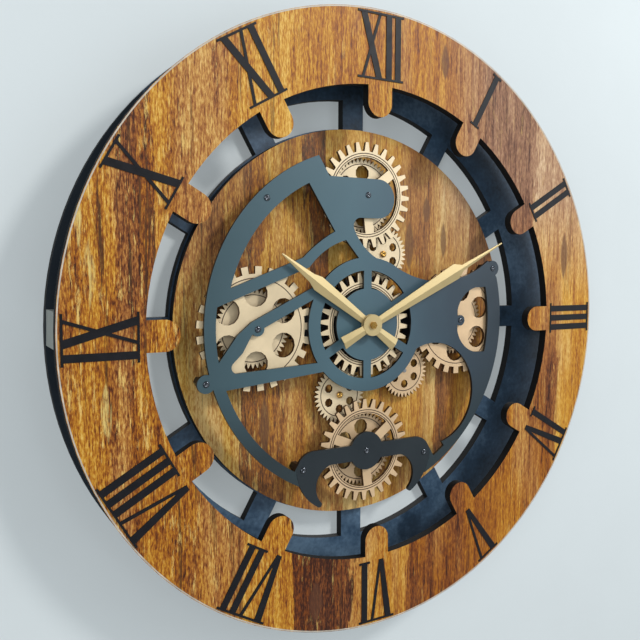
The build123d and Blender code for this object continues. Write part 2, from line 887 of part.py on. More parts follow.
with BuildPart() as batteries:
    for across, up in bays:
        bottom = up - bay_len / 2 + contact_t
        with BuildSketch(Plane.XY.offset(bottom)):
            with Locations((across, cell_y)):
                Circle(cell_r)
        extrude(amount=cell_len)
        with BuildSketch(Plane.XY.offset(bottom + cell_len)):
            with Locations((across, cell_y)):
                Circle(nub_r)
        extrude(amount=nub_len)
finish(batteries, "batteries")

with BuildPart() as battery_contacts:
    for across, up in bays:
        for level in (up - bay_len / 2, up + bay_len / 2 - contact_t):
            with BuildSketch(Plane.XY.offset(level)):
                with Locations((across, cell_y)):
                    Rectangle(contact_w, contact_w)
            extrude(amount=contact_t)
finish(battery_contacts, "battery_contacts")

# Hands


def clock_plane(depth, angle):
    """Plane parallel to the dial whose local Y points along a hand."""
    turn = math.radians(angle)
    return Plane(
        origin=(0, depth - total_depth / 2, 0),
        x_dir=(math.cos(turn), 0, -math.sin(turn)),
        z_dir=(0, -1, 0),
    )


def hand(name, depth, angle, length, point, shoulder_w, barb_w, hole):
    """Hand folded along its ridge, with a flat hub. Its point is the stretch past the shoulder."""
    turn = math.radians(angle)
    shoulder = length - point
    half = [
        (hand_tail_w / 2, -hand_tail_len),
        (hand_neck_w / 2, 0),
        (shoulder_w / 2, shoulder),
        (barb_w / 2, shoulder + hand_barb_len),
        (hand_tip_w / 2, length),
    ]
    mirrored = [(-x, y) for x, y in reversed(half)]
    edge = shoulder_w / 2
    rear = depth + fold * edge + blade_t
    section = Plane(
        origin=(0, depth - total_depth / 2, 0),
        x_dir=(math.cos(turn), 0, -math.sin(turn)),
        z_dir=(math.sin(turn), 0, math.cos(turn)),
    )
    with BuildPart() as blade:
        with BuildSketch(clock_plane(rear, angle)):
            with BuildLine():
                Polyline(*half, *mirrored, close=True)
            make_face()
        extrude(amount=rear - depth)
        with BuildSketch(section):
            with BuildLine():
                Polyline(
                    (0, 0),
                    (edge, fold * edge),
                    (edge, fold * edge + blade_t),
                    (0, blade_t),
                    (-edge, fold * edge + blade_t),
                    (-edge, fold * edge),
                    close=True,
                )
            make_face()
        extrude(amount=length, both=True, mode=Mode.INTERSECT)
        with BuildSketch(clock_plane(depth + hand_hub_t, angle)):
            Circle(hand_hub_r)
        extrude(amount=hand_hub_t)
        with BuildSketch(clock_plane(rear, angle)):
            Circle(hand_hub_r)
        extrude(amount=rear - depth - hand_hub_t, mode=Mode.SUBTRACT)
        with BuildSketch(clock_plane(rear, angle)):
            Circle(hole)
        extrude(amount=rear - depth, mode=Mode.SUBTRACT)
    finish(blade, name)


hand(
    "minute_hand", minute_depth, minute_angle, minute_len,
    minute_point, minute_shoulder_w, minute_barb_w, arbor_r + run_gap,
)
hand(
    "hour_hand", hour_depth, hour_angle, hour_len,
    hour_point, hour_shoulder_w, hour_barb_w, tube_r + run_gap,
)

with BuildPart() as hour_tube:
    tube_end = case_front + motion_hole_depth - 2 * end_gap
    with BuildSketch(at(tube_end)):
        Circle(tube_r)
    extrude(amount=tube_end - hour_depth)
    with BuildSketch(at(hour_depth + hand_hub_t + collet_t)):
        RegularPolygon(tube_collet_r, 6)
    extrude(amount=collet_t)
    with BuildSketch(at(tube_end)):
        Circle(arbor_r + run_gap)
    extrude(amount=tube_end - hour_depth, mode=Mode.SUBTRACT)
finish(hour_tube, "hour_tube")

with BuildPart() as minute_arbor:
    arbor_end = case_front + motion_hole_depth - end_gap
    with BuildSketch(at(arbor_end)):
        Circle(arbor_r)
    extrude(amount=arbor_end - minute_depth)
    with BuildSketch(at(minute_depth + hand_hub_t + collet_t)):
        RegularPolygon(arbor_collet_r, 6)
    extrude(amount=collet_t)
finish(minute_arbor, "minute_arbor")

with BuildPart() as hand_nut:
    with BuildSketch(at(minute_depth)):
        RegularPolygon(hand_nut_r, 6)
    extrude(amount=hand_nut_t)
finish(hand_nut, "hand_nut")
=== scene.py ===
"""Dresses the gear wall clock: camera, light, materials, numerals and small trim."""

import json
import math

import bmesh
import bpy
from mathutils import Matrix, Quaternion, Vector


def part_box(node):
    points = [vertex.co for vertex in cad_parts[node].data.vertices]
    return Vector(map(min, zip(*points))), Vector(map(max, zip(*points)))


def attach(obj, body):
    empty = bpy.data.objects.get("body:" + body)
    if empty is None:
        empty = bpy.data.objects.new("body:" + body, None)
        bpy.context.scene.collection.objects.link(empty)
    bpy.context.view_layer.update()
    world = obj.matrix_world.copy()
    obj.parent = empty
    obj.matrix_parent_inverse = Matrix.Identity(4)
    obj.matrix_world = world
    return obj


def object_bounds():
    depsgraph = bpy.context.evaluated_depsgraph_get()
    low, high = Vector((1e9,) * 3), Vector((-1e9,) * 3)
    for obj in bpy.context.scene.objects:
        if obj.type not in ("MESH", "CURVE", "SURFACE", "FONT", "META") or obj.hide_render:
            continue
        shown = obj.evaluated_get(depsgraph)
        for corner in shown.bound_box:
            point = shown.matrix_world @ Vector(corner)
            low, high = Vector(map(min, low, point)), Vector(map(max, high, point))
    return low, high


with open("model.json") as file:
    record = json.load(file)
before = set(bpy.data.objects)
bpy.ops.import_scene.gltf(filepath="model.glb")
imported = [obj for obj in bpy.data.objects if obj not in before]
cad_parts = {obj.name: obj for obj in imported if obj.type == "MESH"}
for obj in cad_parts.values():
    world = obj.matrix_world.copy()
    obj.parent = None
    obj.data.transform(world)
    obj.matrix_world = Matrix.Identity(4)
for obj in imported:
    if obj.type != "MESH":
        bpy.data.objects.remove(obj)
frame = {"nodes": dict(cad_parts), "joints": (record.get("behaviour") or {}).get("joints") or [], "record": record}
cad_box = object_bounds()
nodes = frame["nodes"]
MM = 0.001

# Camera, fitted to the ring's edges and tabs in the photograph
EYE = Vector((-0.3938, -0.6067, 0.05745))
LOOK = Vector((0.4925, 0.8672, -0.0741))
ROLL = 0.0021
LENS = 40.32
SENSOR = 36.0

# Numerals
NUMERALS = ("XII", "I", "II", "III", "IV", "V", "VI", "VII", "VIII", "IX", "X", "XI")
HOUR_DEG = 30
NUMERAL_IN_R = 234.5 * MM
NUMERAL_H = 62.0 * MM
NUMERAL_T = 0.6 * MM
STROKE_STEP = 0.03 * MM
SERIF_T = 2.0 * MM
SERIF_OUT = 3.0 * MM
LETTER_GAP = 4.0 * MM
# Each letter: its width, its strokes as (top left, top right, bottom left, bottom right), and
# whether it stands on a serif. All in mm across the numeral.
LETTERS = {
    "I": (6.5, ((0.0, 6.5, 0.0, 6.5),), True),
    "V": (25.0, ((0.0, 7.4, 10.0, 15.2), (21.5, 24.7, 12.5, 15.2)), False),
    "X": (25.0, ((0.0, 7.0, 18.0, 25.0), (21.0, 24.0, 1.0, 4.0)), True),
}

# Screw heads
SCREW_R = 3.0 * MM
SCREW_T = 1.3 * MM
PINION_SCREW_R = 3.4 * MM
PINION_SCREW_T = 1.8 * MM
PIN_PROUD = 0.8 * MM
REAR_SCREW_R = 4.0 * MM
SCREW_SEGMENTS = 28
# Corners of one node within this reach of each other belong to one solid
POST_REACH = 20.0 * MM
BLOCK_REACH = 60.0 * MM
DISC_SCREWS = 6
DISC_SCREW_R = 160.0 * MM
HANGER_SCREW_X = 20.0 * MM

# Dry cells: their length and the copper band at the upper end
CELL_LEN = 50.5 * MM
CELL_BAND = 11.0 * MM

# Thin lines: how far they stand out, and the pale line's distances from the ring's outer edge
LINE_PROUD = 0.06 * MM
RIM_LINE_IN = 1.5 * MM
RIM_LINE_OUT = 0.35 * MM
RIM_LINE_SEGMENTS = 240
# Burnt lines on the gears: their width, the thickness of a wheel behind its hub, and radii in mm
LINE_W = 0.9 * MM
LINE_SEGMENTS = 96
WHEEL_T = 3.0 * MM
GEAR_LINES = {
    "centre_gear": (38.6, 41.0),
    "top_gear": (38.6, 41.0),
    "bottom_gear": (38.6, 41.0),
    "left_gear": (47.0,),
    "right_gear": (47.0,),
    "top_wheel": (31.4,),
    "bottom_wheel": (31.4,),
    "left_wheel": (31.4,),
    "right_wheel": (31.4,),
    "upper_pinion": (21.4,),
    "lower_pinion": (21.4,),
    "drive_pinion": (21.4,),
}

# Soft edges on the solids, as widths in mm
EDGE_WIDTHS = {
    "numeral_ring": 0.35,
    "inner_disc": 0.6,
    "frame_plate": 0.35,
    "lower_bridge": 0.35,
    "back_plate": 0.8,
}
EDGE_SEGMENTS = 2
EDGE_ANGLE = math.radians(40)

# Faces count as front or rear when their normal's share along Y is above this
FLAT_SHARE = 0.7
# Most of a noise's values lie between these
NOISE_LOW = 0.3
NOISE_HIGH = 0.7
GRAIN_DEPTH = 0.3 * MM

# Printed wood, in metres: half its width, half the height of the blend between the upper and lower
# planks, and how far the seams wander and fray
WOOD_HALF = 0.31
WOOD_SEAM = 0.06
WOOD_WANDER = 0.022
SEAM_RAGGED = 0.034
WOOD_GLOSS = 0.26
PLATE_GLOSS = 0.45
DISC_COOL = 0.16
# Planks as their left edge in mm and a tone from 0, dark, to 1, pale
RING_UPPER = (
    (-310, 0.56), (-254, 0.24), (-224, 0.60), (-150, 0.66), (-96, 0.56), (-34, 0.54), (30, 0.54),
    (112, 0.42), (206, 0.66),
)
RING_LOWER = (
    (-310, 0.50), (-236, 0.46), (-150, 0.60), (-96, 0.10), (-30, 0.58), (34, 0.32), (112, 0.46),
    (206, 0.34), (246, 0.66),
)
DISC_UPPER = (
    (-310, 0.44), (-132, 0.34), (-108, 0.60), (-62, 0.20), (-38, 0.76), (12, 0.62), (58, 0.44),
    (92, 0.62), (146, 0.40),
)
DISC_LOWER = (
    (-310, 0.82), (-128, 0.30), (-86, 0.52), (-40, 0.52), (-16, 0.78), (28, 0.62), (84, 0.72),
    (106, 0.40), (132, 0.56),
)
# Lens-shaped knots and pale worn spots as their place and half sizes in mm
RING_KNOTS = ((255, 70, 5.5, 27), (78, 262, 5, 18), (-70, -262, 7, 20))
RING_PALE = ((-281, 92, 3, 22), (-274, 50, 4.5, 28), (-262, -60, 4, 24))
DISC_KNOTS = ((66, 80, 6, 26), (88, 118, 5, 14), (112, 86, 4, 20), (-104, -96, 6, 30))

# Stage
WALL_GAP = 0.4 * MM
STAGE_HALF = 4.0
FLOOR_Z = -1.3
WALL_GLOW = 0.36
SKY_COLOUR = (0.88, 0.93, 0.95, 1.0)
SKY_STRENGTH = 0.42

axis_of = {j["child"]: Vector(j["pos_m"]) for j in frame["joints"] if "pos_m" in j}
body_of = {n: b for b, ns in frame["record"]["behaviour"]["bodies"].items() for n in ns}


def srgb(r, g, b):
    """Linear colour of an 8-bit screen colour."""
    def lin(v):
        v /= 255
        return v / 12.92 if v <= 0.04045 else ((v + 0.055) / 1.055) ** 2.4
    return (lin(r), lin(g), lin(b), 1.0)


def shade(colour, factor):
    """The colour made darker or lighter."""
    return tuple(min(1.0, c * factor) for c in colour[:3]) + (1.0,)


# Colours

BLACK_EDGE = srgb(16, 18, 20)
BURNT_EDGE = srgb(84, 58, 38)
BOARD_EDGE = srgb(12, 12, 13)
PLATE_EDGE = srgb(7, 8, 10)
COPPER = srgb(176, 116, 62)
# Painted shade on the frame's foot
FRAME_SHADED_FOOT = srgb(38, 52, 57)
WOOD_CRACK = srgb(70, 42, 20)
WOOD_FLECK = srgb(240, 202, 116)
WOOD_WORN = srgb(226, 200, 122)
WOOD_KNOT = srgb(96, 58, 38)
WOOD_COOL = srgb(150, 130, 98)
# Colours along a tone from 0 to 1
WOOD_TONES = (
    (0.0, srgb(58, 24, 10)),
    (0.26, srgb(126, 64, 20)),
    (0.5, srgb(174, 106, 26)),
    (0.74, srgb(208, 149, 48)),
    (1.0, srgb(234, 192, 100)),
)
ROSY_TONES = (
    (0.0, srgb(50, 27, 17)),
    (0.26, srgb(108, 70, 50)),
    (0.5, srgb(156, 116, 90)),
    (0.74, srgb(194, 158, 126)),
    (1.0, srgb(230, 204, 172)),
)
# Slate from the frame's left, through its painted sheen near the hub, to its painted shade on the right
SLATE_SHEEN_TONES = (
    (0.0, srgb(60, 84, 92)),
    (0.42, srgb(74, 103, 114)),
    (0.6, srgb(64, 89, 102)),
    (0.78, srgb(44, 61, 74)),
    (1.0, srgb(32, 46, 56)),
)
PLATE_TONES = ((0.3, srgb(26, 36, 45)), (0.52, srgb(56, 79, 102)), (0.72, srgb(98, 124, 148)))
REAR_TONES = ((NOISE_LOW, srgb(34, 37, 41)), (NOISE_HIGH, srgb(58, 62, 68)))
CELL_TONES = ((NOISE_LOW, srgb(26, 30, 36)), (NOISE_HIGH, srgb(36, 42, 50)))

# Materials


class Tree:
    """A material's nodes, with short calls to add and link them."""

    def __init__(self, name):
        self.material = bpy.data.materials.new(name)
        self.material.use_nodes = True
        self.nodes = self.material.node_tree.nodes
        self.links = self.material.node_tree.links
        self.shader = self.nodes["Principled BSDF"]
        self.place = self.add("ShaderNodeTexCoord").outputs["Object"]

    def add(self, kind, **inputs):
        """New node with its inputs set."""
        node = self.nodes.new(kind)
        for key, value in inputs.items():
            self.set(node.inputs[key.replace("_", " ")], value)
        return node

    def set(self, socket, value):
        """Links a socket to the value, or gives it the value if that is constant."""
        if isinstance(value, bpy.types.NodeSocket):
            self.links.new(value, socket)
        else:
            socket.default_value = value

    def noise(self, scale, stretch=(1, 1, 1), detail=3.0, distortion=0.0, rough=0.55):
        """Noise with a number of cells to the metre, times the stretch along each axis."""
        spot = self.add("ShaderNodeMapping", Vector=self.place, Scale=stretch)
        tex = self.add(
            "ShaderNodeTexNoise", Vector=spot.outputs[0], Scale=scale, Detail=detail,
            Distortion=distortion, Roughness=rough,
        )
        return tex.outputs["Fac"]

    def math(self, operation, a, b=0.0):
        """One calculation with two values."""
        node = self.nodes.new("ShaderNodeMath")
        node.operation = operation
        self.set(node.inputs[0], a)
        self.set(node.inputs[1], b)
        return node.outputs[0]

    def swing(self, value, size):
        """A noise value moved to swing about zero."""
        return self.math("MULTIPLY", self.math("SUBTRACT", value, 0.5), size)

    def total(self, *values):
        """The sum of all values."""
        result = values[0]
        for value in values[1:]:
            result = self.math("ADD", result, value)
        return result

    def spread(self, value, low, high, to_low=0.0, to_high=1.0):
        """The value moved from one span to another, and kept inside it."""
        node = self.nodes.new("ShaderNodeMapRange")
        for socket, v in zip(node.inputs, (value, low, high, to_low, to_high)):
            self.set(socket, v)
        return node.outputs[0]

    def noise_to(self, value, to_low, to_high):
        """A noise value moved to another span."""
        return self.spread(value, NOISE_LOW, NOISE_HIGH, to_low, to_high)

    def ramp(self, value, stops, style="LINEAR"):
        """Colours by a value."""
        node = self.add("ShaderNodeValToRGB", Fac=value)
        node.color_ramp.interpolation = style
        elements = node.color_ramp.elements
        while len(elements) < len(stops):
            elements.new(0.5)
        for element, (where, colour) in zip(elements, stops):
            element.position = where
            element.color = colour
        return node.outputs["Color"]

    def mix(self, share, a, b):
        """The first colour, or the second by its share."""
        node = self.nodes.new("ShaderNodeMix")
        node.data_type = "RGBA"
        self.set(node.inputs["Factor"], share)
        self.set(node.inputs[6], a)
        self.set(node.inputs[7], b)
        return node.outputs[2]

    def across(self):
        """The place's X and Z, in the dial's plane."""
        split = self.add("ShaderNodeSeparateXYZ", Vector=self.place)
        return split.outputs["X"], split.outputs["Z"]

    def facing(self, way=-1.0):
        """1 on faces that look to the clock's front, or to its rear if way is 1, and else 0."""
        normal = self.add("ShaderNodeNewGeometry").outputs["True Normal"]
        split = self.add("ShaderNodeSeparateXYZ", Vector=normal)
        along = self.math("MULTIPLY", split.outputs["Y"], way)
        return self.math("GREATER_THAN", along, FLAT_SHARE)

    def dull_edge(self, flat, rough):
        """The front's roughness, with dull edges and rear."""
        return self.math("MAXIMUM", rough, self.spread(flat, 0.0, 1.0, 0.85, 0.0))

    def paint(self, **inputs):
        """Sets the shader's inputs."""
        for key, value in inputs.items():
            self.set(self.shader.inputs[key.replace("_", " ")], value)

    def bump(self, height, strength, distance):
        """Fine relief on the surface."""
        node = self.add("ShaderNodeBump", Height=height, Strength=strength, Distance=distance)
        self.links.new(node.outputs["Normal"], self.shader.inputs["Normal"])


def finish_of(
    name, colour, rough, metallic=0.0, vary=0.15, scale=60.0, stretch=(1, 1, 1), edge=None,
    bump=0.1, grain=900.0, gloss=0.5,
):
    """Plain finish with uneven tone, uneven gloss, fine grain and, if given, a coloured edge."""
    t = Tree(name)
    cloud = t.noise(scale, stretch, detail=4.0)
    dark, light = shade(colour, 1 - vary), shade(colour, 1 + vary)
    tone = t.ramp(cloud, ((NOISE_LOW, dark), (NOISE_HIGH, light)))
    if edge:
        tone = t.mix(t.facing(), edge, tone)
    dullness = t.noise_to(cloud, rough * 0.85, min(1.0, rough * 1.15))
    t.paint(Base_Color=tone, Roughness=dullness, Metallic=metallic, Specular_IOR_Level=gloss)
    t.bump(t.noise(grain, stretch, detail=2.0), bump, GRAIN_DEPTH)
    return t.material


def plank_tone(t, x, planks):
    """Tone of the plank at a place across the dial."""
    stops = [
        ((edge * MM + WOOD_HALF) / (2 * WOOD_HALF), (tone, tone, tone, 1.0))
        for edge, tone in planks
    ]
    return t.ramp(t.spread(x, -WOOD_HALF, WOOD_HALF), stops, "CONSTANT")


def knot_mask(t, x, z, knots):
    """1 inside the knots, with a soft rim."""
    mask = 0.0
    for at_x, at_z, half_w, half_h in knots:
        side = t.math("MULTIPLY", t.math("SUBTRACT", x, at_x * MM), 1 / (half_w * MM))
        rise = t.math("MULTIPLY", t.math("SUBTRACT", z, at_z * MM), 1 / (half_h * MM))
        reach = t.math("ADD", t.math("ABSOLUTE", side), t.math("MULTIPLY", rise, rise))
        mask = t.math("MAXIMUM", mask, t.spread(reach, 1.15, 0.75))
    return mask


def wood_print(name, upper, lower, knots, pale, cool):
    """Printed planks with upright grain, cracks, gold flecks, worn spots and knots."""
    t = Tree(name)
    x, z = t.across()
    # Planks, with seams that wander and fray
    wander = t.swing(t.noise(9.0, (1, 1, 0.5)), WOOD_WANDER)
    ragged = t.swing(t.noise(120.0, (1, 1, 0.12), detail=4.0), SEAM_RAGGED)
    x_bent = t.total(x, wander, ragged)
    x_knot = t.math("ADD", x, t.math("MULTIPLY", ragged, 0.15))
    half = t.spread(t.math("ADD", z, t.math("MULTIPLY", wander, 6.0)), -WOOD_SEAM, WOOD_SEAM)
    plank = t.mix(half, plank_tone(t, x_bent, lower), plank_tone(t, x_bent, upper))
    # Grain, from broad streaks to pores and dark hairlines, and crisper on the left
    streak = t.noise(8.0, (3.4, 1, 0.4), detail=5.0, distortion=0.5)
    bands = t.noise(34.0, (2.4, 1, 0.13), detail=4.0, distortion=0.3)
    figure = t.noise(120.0, (2.2, 1, 0.15), detail=9.0, distortion=0.5, rough=0.8)
    pores = t.noise(620.0, (1.15, 1, 0.26), detail=3.0, rough=0.7)
    crisp = t.spread(t.noise(560.0, (1.2, 1, 0.34), detail=2.0), 0.42, 0.58, -0.12, 0.12)
    sharp = t.spread(x, -0.25, 0.08, 1.0, 0.5)
    fine = t.math("MULTIPLY", t.total(crisp, t.swing(figure, 1.3), t.swing(pores, 1.3)), sharp)
    hair_noise = t.noise(430.0, (1.5, 1, 0.09), detail=3.0, rough=0.7)
    hair = t.spread(hair_noise, 0.5, 0.66, 0.0, -0.3)
    tone = t.total(plank, fine, hair, t.swing(streak, 0.55), t.swing(bands, 0.8), 0.06)
    # Rosier, greyer wood at the upper right as a painted sheen of glare, and rosier wood in random patches
    glare_sheen = t.math("MULTIPLY", t.spread(x_bent, 0.07, 0.14), t.spread(z, 0.02, 0.14))
    patchy = t.spread(t.noise(5.0, (3.0, 1, 0.4), detail=3.0), 0.5, 0.58, 0.0, 0.25)
    rosy_and_sheen = t.math("MAXIMUM", t.math("MULTIPLY", glare_sheen, 0.85), patchy)
    colour = t.mix(rosy_and_sheen, t.ramp(tone, WOOD_TONES), t.ramp(tone, ROSY_TONES))
    # Cracks and flecks, stronger on the left
    left = t.spread(x, -0.26, 0.06, 0.9, 0.25)
    crack = t.spread(t.noise(44.0, (4.2, 1, 0.14), detail=7.0, rough=0.66), 0.58, 0.64)
    colour = t.mix(t.math("MULTIPLY", crack, left), colour, WOOD_CRACK)
    fleck = t.spread(t.noise(120.0, (1.5, 1, 0.2), detail=7.0, rough=0.78), 0.57, 0.63)
    colour = t.mix(t.math("MULTIPLY", fleck, left), colour, WOOD_FLECK)
    worn = t.math("MULTIPLY", knot_mask(t, x_knot, z, pale), t.spread(figure, 0.44, 0.56))
    colour = t.mix(worn, colour, WOOD_WORN)
    knot = t.math("MULTIPLY", knot_mask(t, x_knot, z, knots), 0.72)
    colour = t.mix(knot, colour, WOOD_KNOT)
    colour = t.mix(cool, colour, WOOD_COOL)
    flat = t.facing()
    t.paint(
        Base_Color=t.mix(flat, BOARD_EDGE, colour),
        Specular_IOR_Level=WOOD_GLOSS,
        Roughness=t.dull_edge(flat, t.noise_to(pores, 0.36, 0.52)),
    )
    t.bump(t.math("ADD", pores, t.math("MULTIPLY", figure, 0.5)), 0.5, 2 * GRAIN_DEPTH)
    return t.material


def frame_finish(name):
    """Slate lacquer with black edges, and painted sheen and shade: lightest near the hub, darker below and to the
    right.
    """
    t = Tree(name)
    x, z = t.across()
    cloud = t.noise(20.0, detail=4.0)
    # Painted sheen and shade across the frame, lightest near the hub and darker to the right, with random tone
    # from the cloud
    sheen_and_mottle = t.math("ADD", t.spread(x, -0.17, 0.19), t.swing(cloud, 0.12))
    # Painted shade: the frame darkened toward its foot
    foot = t.spread(z, -0.05, -0.12)
    tone = t.mix(foot, t.ramp(sheen_and_mottle, SLATE_SHEEN_TONES), FRAME_SHADED_FOOT)
    t.paint(
        Base_Color=t.mix(t.facing(), BLACK_EDGE, tone),
        Roughness=t.noise_to(cloud, 0.36, 0.48),
    )
    t.bump(t.noise(900.0, detail=2.0), 0.1, GRAIN_DEPTH)
    return t.material


def back_finish(name):
    """Dark plate with a mottled blue front, a painted sheen that makes its foot paler, painted shade on its left,
    and a fibrous rear.
    """
    t = Tree(name)
    x, z = t.across()
    cloud = t.noise(11.0, detail=6.0, rough=0.62)
    speck = t.noise(260.0, detail=2.0)
    # Painted sheen: the front paler toward its foot
    foot = t.math("MULTIPLY", t.spread(z, -0.15, -0.24), t.spread(x, 0.1, 0.02))
    # Painted shade: the front darker toward its left side
    side = t.spread(x, -0.18, -0.26)
    tone = t.total(
        cloud, t.swing(speck, 0.25), t.math("MULTIPLY", foot, 0.2), t.math("MULTIPLY", side, -0.3)
    )
    front = t.ramp(tone, PLATE_TONES)
    fibre = t.noise(70.0, (0.4, 1, 2.0), detail=6.0, rough=0.7)
    rear = t.ramp(t.math("ADD", fibre, t.swing(cloud, 0.8)), REAR_TONES)
    flat = t.facing()
    t.paint(
        Base_Color=t.mix(flat, t.mix(t.facing(1.0), PLATE_EDGE, rear), front),
        Specular_IOR_Level=PLATE_GLOSS,
        Roughness=t.dull_edge(flat, t.noise_to(cloud, 0.36, 0.5)),
    )
    t.bump(speck, 0.15, 0.4 * MM)
    return t.material


def cell_wrap(name):
    """Dark wrap with a copper band at each cell's upper end. The left cell is the higher one."""
    t = Tree(name)
    x, z = t.across()
    low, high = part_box("batteries")
    right = t.math("GREATER_THAN", x, (low.x + high.x) / 2)
    top = t.spread(right, 0.0, 1.0, high.z, low.z + CELL_LEN)
    band = t.math("GREATER_THAN", z, t.math("SUBTRACT", top, CELL_BAND))
    body = t.ramp(t.noise(40.0, (1, 1, 0.2)), CELL_TONES)
    t.paint(
        Base_Color=t.mix(band, body, COPPER),
        Roughness=t.noise_to(t.noise(200.0), 0.22, 0.34),
        Metallic=0.4,
    )
    return t.material


def backdrop(name, colour, glow):
    """Painted wall or floor that only the camera and reflections see, from its front."""
    t = Tree(name)
    cloud = t.noise(2.2, detail=5.0)
    tone = t.ramp(cloud, ((NOISE_LOW, shade(colour, 0.93)), (NOISE_HIGH, colour)))
    t.paint(Base_Color=tone, Emission_Color=tone, Emission_Strength=glow, Roughness=0.85)
    t.bump(t.noise(90.0, detail=6.0), 0.12, MM)
    path = t.nodes.new("ShaderNodeLightPath")
    seen = t.math("MAXIMUM", path.outputs["Is Camera Ray"], path.outputs["Is Glossy Ray"])
    rear = t.add("ShaderNodeNewGeometry").outputs["Backfacing"]
    shown = t.math("MULTIPLY", seen, t.math("SUBTRACT", 1.0, rear))
    clear = t.nodes.new("ShaderNodeBsdfTransparent")
    pick = t.nodes.new("ShaderNodeMixShader")
    t.links.new(shown, pick.inputs[0])
    t.links.new(clear.outputs[0], pick.inputs[1])
    t.links.new(t.shader.outputs[0], pick.inputs[2])
    t.links.new(pick.outputs[0], t.nodes["Material Output"].inputs["Surface"])
    return t.material


looks = {
    "wood_print": wood_print("wood_print", RING_UPPER, RING_LOWER, RING_KNOTS, RING_PALE, 0.0),
    "back_black": back_finish("back_black"),
    "spacer_grey": finish_of("spacer_grey", srgb(146, 151, 146), 0.6),
    "frame_slate": frame_finish("frame_slate"),
    "gear_cream": finish_of(
        "gear_cream", srgb(240, 217, 178), 0.36, metallic=0.25, vary=0.08, scale=40.0,
        edge=BURNT_EDGE,
    ),
    "train_black": finish_of("train_black", srgb(24, 24, 26), 0.45),
    "post_dark": finish_of("post_dark", srgb(40, 42, 46), 0.35, metallic=0.6),
    "pin_steel": finish_of(
        "pin_steel", srgb(170, 170, 172), 0.3, metallic=1.0, stretch=(1, 8, 1)
    ),
    "hand_gold": finish_of(
        "hand_gold", srgb(202, 180, 129), 0.42, metallic=0.4, vary=0.05, scale=30.0
    ),
    "brass": finish_of("brass", srgb(206, 160, 84), 0.25, metallic=1.0),
    "case_black": finish_of("case_black", srgb(34, 34, 36), 0.55, bump=0.3),
    "knob_grey": finish_of("knob_grey", srgb(120, 120, 122), 0.5),
    "cell": cell_wrap("cell"),
    "contact": finish_of("contact", srgb(200, 198, 190), 0.25, metallic=1.0),
    "hanger_steel": finish_of(
        "hanger_steel", srgb(186, 188, 190), 0.35, metallic=1.0, stretch=(6, 1, 1)
    ),
}
gear_rose = finish_of(
    "gear_rose", srgb(230, 196, 154), 0.36, metallic=0.3, vary=0.1, scale=40.0, edge=BURNT_EDGE
)
# Nodes that look unlike the others of their slot
own_look = {
    # The lower bridge in darker slate, a painted shade
    "lower_bridge": finish_of(
        "bridge_slate_shaded", srgb(28, 38, 44), 0.42, vary=0.07, scale=20.0, edge=BLACK_EDGE
    ),
    "inner_disc": wood_print(
        "wood_disc", DISC_UPPER, DISC_LOWER, DISC_KNOTS, (), DISC_COOL
    ),
    "bottom_gear": gear_rose,
    "bottom_wheel": gear_rose,
    "right_gear": gear_rose,
    "right_wheel": gear_rose,
    "drive_pinion": gear_rose,
}
numeral_black = finish_of(
    "numeral_black", srgb(20, 20, 25), 0.5, vary=0.2, scale=120.0, gloss=0.24
)
# Pale rim line: the ring's sanded edge, with a painted highlight
rim_pale_highlight = finish_of("rim_pale_highlight", srgb(196, 186, 170), 0.5, vary=0.25, scale=90.0)
burnt_line = finish_of("burnt_line", srgb(70, 50, 36), 0.7, vary=0.3, scale=300.0)
screw_dark = finish_of("screw_dark", srgb(92, 96, 102), 0.16, metallic=1.0)

slot_of = {s["node"]: s["material_slot"] for s in frame["record"]["subparts"]}
for node_name, obj in nodes.items():
    obj.data.materials.clear()
    obj.data.materials.append(own_look.get(node_name, looks[slot_of[node_name]]))

for node_name, width in EDGE_WIDTHS.items():
    bevel = nodes[node_name].modifiers.new("edge", "BEVEL")
    bevel.width = width * MM
    bevel.segments = EDGE_SEGMENTS
    bevel.limit_method = "ANGLE"
    bevel.angle_limit = EDGE_ANGLE

# Trim


def new_piece(name, bm, material, body):
    """Object from a bmesh that rides on a body."""
    mesh = bpy.data.meshes.new(name)
    bmesh.ops.recalc_face_normals(bm, faces=bm.faces)
    bm.to_mesh(mesh)
    bm.free()
    obj = bpy.data.objects.new(name, mesh)
    bpy.context.scene.collection.objects.link(obj)
    mesh.materials.append(material)
    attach(obj, body)


def prism(bm, points, front, depth):
    """Flat outline in X and Z, from its front face back by a depth."""
    near = [bm.verts.new((x, front, z)) for x, z in points]
    far = [bm.verts.new((x, front + depth, z)) for x, z in points]
    bm.faces.new(near)
    bm.faces.new(far[::-1])
    for i, vert in enumerate(near):
        j = (i + 1) % len(near)
        bm.faces.new((vert, far[i], far[j], near[j]))


def circle(bm, centre, radius, segments):
    """Ring of vertices about a centre, in the dial's plane."""
    turns = [2 * math.pi * k / segments for k in range(segments)]
    return [
        bm.verts.new((centre.x + radius * math.cos(a), centre.y, centre.z + radius * math.sin(a)))
        for a in turns
    ]


def skin(bm, low, high):
    """Faces between two rings of vertices."""
    for k in range(len(low)):
        n = (k + 1) % len(low)
        bm.faces.new((low[k], low[n], high[n], high[k]))


def band(bm, centre, inner, outer, segments):
    """Flat ring, half proud of the face that its centre lies on and half sunk in it."""
    corners = (
        (inner, -LINE_PROUD), (outer, -LINE_PROUD), (outer, LINE_PROUD), (inner, LINE_PROUD)
    )
    loops = [
        circle(bm, centre + Vector((0, deep, 0)), radius, segments) for radius, deep in corners
    ]
    for low, high in zip(loops, loops[1:] + loops[:1]):
        skin(bm, low, high)


def spun(bm, profile, centre, way=-1):
    """Solid of revolution about Y from radii and offsets, to the front, or the rear if way is 1."""
    rings = [
        circle(bm, centre + Vector((0, way * out, 0)), radius, SCREW_SEGMENTS)
        for radius, out in profile
    ]
    for low, high in zip(rings, rings[1:]):
        skin(bm, low, high)
    for face in bm.faces:
        face.smooth = True
    bm.faces.new(rings[0])
    bm.faces.new(rings[-1][::-1])


